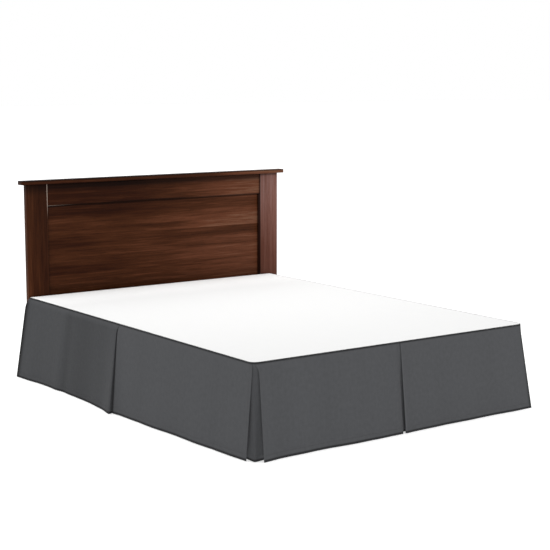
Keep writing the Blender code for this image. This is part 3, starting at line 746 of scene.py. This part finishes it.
# The welt: the drop's top edge turned over the deck's edge and stitched down. Its place on the cloth is set
# below the painted shade at the drop's top, so that it takes none of it. Its own tone is painted shade.
WELT_INSET, WELT_WIDTH, WELT_HEIGHT, WELT_PAINTED_SHADE, WELT_PLACE = 0.0012, 0.0016, 0.0019, 0.36, 0.05
for side, (piece, cloth_length, start, end) in drops_made.items():
    welt = bmesh.new()
    seam = marks(max(start - CORNER_SLIT, 0.0), min(end + CORNER_SLIT, OUTLINE), 0.02)
    line = [on_outline(mark, WELT_INSET) for mark in seam]
    for point in line:
        point.z = HANG_TOP
    swept(welt, line, WELT_WIDTH, WELT_HEIGHT, ring=8)
    rims = [edge for edge in welt.edges if edge.is_boundary]
    bmesh.ops.holes_fill(welt, edges=rims, sides=0)
    bmesh.ops.recalc_face_normals(welt, faces=welt.faces)
    for name, value in (("tone", WELT_PAINTED_SHADE), ("edge", 1.0)):
        layer = welt.verts.layers.float.new(name)
        for vertex in welt.verts:
            vertex[layer] = value
    metres = welt.loops.layers.uv["cloth_metres"]
    for face in welt.faces:
        for loop in face.loops:
            loop[metres].uv.y += WELT_PLACE
    welt_piece = add_piece(f"seam_welt_{side}", welt, charcoal, smooth_below=60)


# ---- Corner inserts ----
# A loose panel of the same cloth hangs behind the split at each foot corner, so that no bed shows between
# the drops. It is sewn under the deck's edge with them, hemmed like them, and stands forward at the corner.

INSERT_REACH = 0.135
# The side before each corner and its end, the side after it and its start, and how far the hem stands off the
# deck's edge on each
INSERTS = {"left": ("left", DECK_LENGTH / 2, "foot", -DECK_WIDTH / 2, 0.004, 0.020),
           "right": ("foot", DECK_WIDTH / 2, "right", -DECK_LENGTH / 2, 0.004, 0.010)}
for corner, (side_before, near, side_after, far, out_before, out_after) in INSERTS.items():
    line = marks(CORNERS[corner] - INSERT_REACH, CORNERS[corner] + INSERT_REACH, 0.008)
    curve = [at_hem(side_before, near + out_after - INSERT_REACH, 0.0),
             at_hem(side_before, near + out_after - INSERT_REACH / 2, out_before * 0.5),
             at_hem(side_before, near + out_after * 0.5, out_before * 0.95),
             at_hem(side_before, near + out_after - 0.006, out_before * 0.9),
             at_hem(side_after, far - out_before + 0.006, out_after * 0.97),
             at_hem(side_after, far - out_before + INSERT_REACH / 2, out_after * 0.45),
             at_hem(side_after, far - out_before + INSERT_REACH, 0.0)]
    top = [on_outline(mark, SEAM_INSET + LAYER) for mark in line]
    # Painted shade in the insert's middle, and painted light towards its sides, where it shows between the
    # drops
    painted_shade_tones = [-0.27 + 1.05 * min(1.0, abs(mark - CORNERS[corner]) / 0.045) ** 2 for mark in line]
    piece, cloth_length = hung(f"skirt_corner_{corner}", top, smooth(curve, line), [[]] * len(line), painted_shade_tones,
                               [Vector()] * len(line), [f"corner_insert_{corner}"])


# ---- Headboard ----
# Dark stained wood behind the bed: two flat posts to the floor, a projecting cap, a top rail, a recessed
# panel of wide boards and a low rail behind the box spring, in satin lacquer. Painted shade darkens it
# under the cap, in its recesses and along its joints, painted light makes it paler towards the right, and
# some arrises carry painted highlights.

# The stain from its darkest to its palest, and the same paler and pinker as a painted reflection, on the
# right post
STAIN = ((0.0, (0.0085, 0.0016, 0.0005)), (0.25, (0.0185, 0.0042, 0.0011)), (0.50, (0.0400, 0.0118, 0.0038)),
         (0.75, (0.0860, 0.0280, 0.0128)), (1.0, (0.1420, 0.0680, 0.0400)))
PAINTED_REFLECTION_STAIN = ((0.0, (0.0400, 0.0130, 0.0078)), (0.35, (0.0690, 0.0245, 0.0160)),
               (0.70, (0.1120, 0.0500, 0.0390)), (1.0, (0.1600, 0.0890, 0.0780)))


def stained_wood(name, along, level, bands=(), joints=(), painted_highlights=(), front=0.0, stops=STAIN):
    """Espresso-stained wood whose grain runs along an axis.

    level is (axis, from, to, tone from, tone to), the stain's tone across the board, 0 dark to 1 pale; where
    it grows paler towards the right, or up the right post, that is partly painted light. bands are (crisp
    edge, soft edge, left, right, change) places with a tone of their own. joints are (axis, from, to, share)
    places darkened by painted shade, up to that share, or made paler by painted light where it is below 0,
    and may add a height above which they hold. worn are arrises painted pale as painted highlights, on the
    face whose y is front: (axis across, from, to, axis along, where it fades out, where it is palest)."""
    material, thread, shader = new_finish(name, IOR=1.5, Specular_IOR_Level=0.045)
    place = thread.place()
    parts = {axis: place.part(axis.upper()) for axis in "xyz"}

    def streaks(length, width, *look):
        return place.speckle((length, width, width) if along == "x" else (width, width, length), *look)

    drift = streaks(1.1, 7, 2.0) - 0.5
    figure = streaks(2.4, 54, 4.0, 0.62, 0.4) - 0.5
    grain = streaks(6, 210, 3.0, 0.65) - 0.5
    pores = streaks(24, 850, 2.0, 0.5).eased(0.58, 0.70)
    axis, start, end, dark, pale = level
    # The level's rise towards the right, and up the right post, is partly painted light
    tone = parts[axis].eased(start, end) * (pale - dark) + dark + figure * 0.66 + grain * 0.46 + drift * 0.26
    for crisp, soft, left, right, change in bands:
        height = parts["z"] + figure * 0.008
        way = math.copysign(0.012, soft - crisp)
        inside = height.eased(crisp - way * 0.15, crisp + way * 0.15) * height.eased(soft + way, soft - way)
        inside = inside * parts["x"].eased(left - 0.12, left + 0.12)
        inside = inside * parts["x"].eased(right + 0.12, right - 0.12)
        tone = tone + inside * change
    stain = thread.node("ShaderNodeValToRGB", {"stops": stops}, {0: tone}).shaded(1.0 - pores * 0.35)
    # Painted shade, or painted light where the share is below 0
    for axis, start, end, share, *floor in joints:
        above = parts["z"].eased(floor[0] - 0.01, floor[0] + 0.01) if floor else 1.0
        stain = stain.shaded(1.0 - parts[axis].eased(start, end) * share * above)
    # Painted highlights along arrises
    for across, start, end, lengthwise, fades, palest in painted_highlights:
        line = parts[across].eased(start, start + 0.001) * parts[across].eased(end + 0.001, end)
        line = line * parts[lengthwise].eased(fades, palest) * parts["y"].eased(front + 0.008, front + 0.004)
        stain = stain.blend(thread.colour(0.46, 0.37, 0.31), line)
    wire_up(shader, Base_Color=stain, Roughness=0.42 + grain * 0.20 + pores * 0.1,
            Normal=thread.relief(grain * 0.5 - pores * 0.5, 0.00022))
    return material


TONGUE, BACK_INSET = 0.004, 0.0008


def board(name, node, finish, rounding, tongue=(0.0, 0.0)):
    """A board of the CAD solid's size with eased edges. tongue is how far it is let into its neighbours at
    its ends and at its edges, and such a board's back lies a little inside theirs."""
    low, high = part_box(node)
    low.x, high.x = low.x - tongue[0], high.x + tongue[0]
    low.z, high.z = low.z - tongue[1], high.z + tongue[1]
    high.y -= BACK_INSET if tongue[0] else 0.0
    bm = bmesh.new()
    bmesh.ops.create_cube(bm, size=1.0)
    bmesh.ops.scale(bm, vec=high - low, verts=bm.verts)
    bmesh.ops.translate(bm, vec=(low + high) / 2, verts=bm.verts)
    ease(bm, bm.edges, rounding, 3)
    add_piece(name, bm, finish, [node], smooth_below=60)


post_left_low, post_left_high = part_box("post_left")
post_right_low, post_right_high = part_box("post_right")
rail_low, rail_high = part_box("headboard_top_rail")
panel_low, panel_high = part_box("headboard_panel")
top = post_left_high.z
# Left post: painted shade under the cap and towards its top, and a painted highlight on its inner arris
left_post_wood = stained_wood(
    "espresso_left_post", "z", ("x", -0.67, -0.76, 0.34, 0.52),
    joints=[("z", top - 0.070, top - 0.008, 0.60), ("z", 0.45, 0.92, 0.20)],
    painted_highlights=[("x", post_left_high.x - 0.0034, post_left_high.x + 0.001, "z", 0.80, 0.93)],
    front=post_left_low.y)
# Right post: a painted reflection up top, painted shade under the cap and on its inner side, painted light
# outward
right_post_wood = stained_wood(
    "espresso_right_post", "z", ("z", 0.42, 0.96, 0.30, 0.80), stops=PAINTED_REFLECTION_STAIN,
    joints=[("z", top - 0.018, top - 0.006, 0.45),
            ("x", post_right_low.x + 0.0030, post_right_low.x + 0.0014, 0.80, 0.40),
            ("x", post_right_low.x + 0.030, post_right_high.x - 0.015, -0.20)])
# Cap: paler towards the right, partly painted light, and painted shade along its top
cap_wood = stained_wood(
    "espresso_cap", "x", ("x", 0.10, 0.86, 0.33, 0.86), joints=[("z", top + 0.012, top + 0.018, 0.65)])
# Top rail: paler towards the right, partly painted light; painted shade under the cap, along its lower edge
# and at its right end; a painted highlight along its lower arris on the left
rail_wood = stained_wood(
    "espresso_rail", "x", ("x", -0.35, 0.72, 0.27, 0.80),
    joints=[("z", top - 0.046, top - 0.018, 0.66), ("z", rail_low.z + 0.0065, rail_low.z + 0.0025, 0.60),
            ("x", rail_high.x - 0.008, rail_high.x - 0.003, 0.45)],
    painted_highlights=[("z", rail_low.z - 0.001, rail_low.z + 0.0004, "x", -0.46, -0.68)], front=rail_low.y)
# Low rail: paler towards the right, partly painted light
low_rail_wood = stained_wood("espresso_low_rail", "x", ("x", -0.35, 0.72, 0.40, 0.60))
# Panel: paler towards the right, partly painted light, and painted shade under the top rail, along its foot
# and beside both posts
panel_wood = stained_wood(
    "espresso_panel", "x", ("x", -0.28, 0.66, 0.46, 0.71),
    bands=[(0.703, 0.745, 0.26, 0.80, 0.13), (0.703, 0.800, 0.34, 0.80, 0.05),
           (0.700, 0.655, 0.02, 0.80, -0.14), (0.872, 0.800, -0.80, 0.80, -0.12),
           (0.872, 0.815, -0.70, -0.10, -0.10), (0.700, 0.640, -0.70, -0.36, -0.15),
           (0.590, 0.540, 0.20, 0.80, 0.07), (0.590, 0.622, -0.30, 0.14, 0.09),
           (0.503, 0.545, -0.70, -0.20, -0.15)],
    joints=[("z", panel_high.z - 0.012, panel_high.z - 0.005, 0.55), ("z", 0.47, 0.43, 0.25),
            ("x", panel_high.x - 0.012, panel_high.x - 0.004, 0.80),
            ("x", panel_low.x + 0.016, panel_low.x + 0.004, 0.30)])
board("headboard_post_left", "post_left", left_post_wood, 0.0022)
board("headboard_post_right", "post_right", right_post_wood, 0.0022)
board("headboard_cap_board", "headboard_cap", cap_wood, 0.0025)
board("headboard_rail_top", "headboard_top_rail", rail_wood, 0.0012, (TONGUE, 0.0))
board("headboard_panel_boards", "headboard_panel", panel_wood, 0.0008, (TONGUE, TONGUE))
board("headboard_rail_low", "headboard_low_rail", low_rail_wood, 0.0012, (TONGUE, 0.0))


# ---- Floor, light and camera ----
# A pale seamless floor under an even white sky, with a broad soft light in front and a weaker one overhead.
# The camera stands off the bed's left foot corner, where the photograph was taken from.

floor_paint, thread, shader = new_finish("pale_floor", Roughness=0.9, Emission_Color=(1, 1, 1, 1),
                                         Emission_Strength=0.50)
cloudy = thread.place().speckle((3, 3, 3))
wire_up(shader, Base_Color=thread.colour(0.76, 0.76, 0.76).shaded(0.99 + cloudy * 0.02))
floor = bmesh.new()
bmesh.ops.create_grid(floor, x_segments=8, y_segments=8, size=60)
floor_mesh = bpy.data.meshes.new("studio_floor")
floor.to_mesh(floor_mesh)
floor.free()
floor_mesh.materials.append(floor_paint)
studio_floor = bpy.data.objects.new("studio_floor", floor_mesh)
bpy.context.scene.collection.objects.link(studio_floor)

sky = bpy.data.worlds.new("white_sky")
sky.use_nodes = True
sky.node_tree.nodes["Background"].inputs["Color"].default_value = (1.0, 1.0, 1.0, 1.0)
sky.node_tree.nodes["Background"].inputs["Strength"].default_value = 1.0
bpy.context.scene.world = sky
bpy.context.scene.view_settings.view_transform = "Standard"


def soft_light(name, place, aim, power, **look):
    """A lamp aimed at a spot: an area lamp where its look has a size, and else a sun."""
    lamp = bpy.data.lights.new(name, "AREA" if "size" in look else "SUN")
    for setting, value in {"energy": power, **look}.items():
        setattr(lamp, setting, value)
    stand = bpy.data.objects.new(name, lamp)
    stand.location = place
    stand.rotation_euler = (Vector(aim) - Vector(place)).to_track_quat("-Z", "Y").to_euler()
    stand.visible_camera = False
    bpy.context.scene.collection.objects.link(stand)


soft_light("front_far", (-5.6, -8.2, 3.2), (0, 0, 0.4), 1.2, angle=0.40)
soft_light("soft_overhead", (0.05, 0.9, 2.6), (0.05, 0.9, 0), 20, shape="DISK", size=1.8)

PHOTO_SIDE, FOCAL_LENGTH = 550, 1375  # in pixels
lens = bpy.data.cameras.new("viewpoint")
lens.sensor_width, lens.lens = 36.0, FOCAL_LENGTH / PHOTO_SIDE * 36
lens.clip_end = 400.0
viewpoint = bpy.data.objects.new("viewpoint", lens)
viewpoint.location = (-3.819851, -5.448281, 1.537194)
viewpoint.rotation_euler = (math.pi / 2 - 0.142991, 0.0, -0.620325)
bpy.context.scene.collection.objects.link(viewpoint)
bpy.context.scene.camera = viewpoint
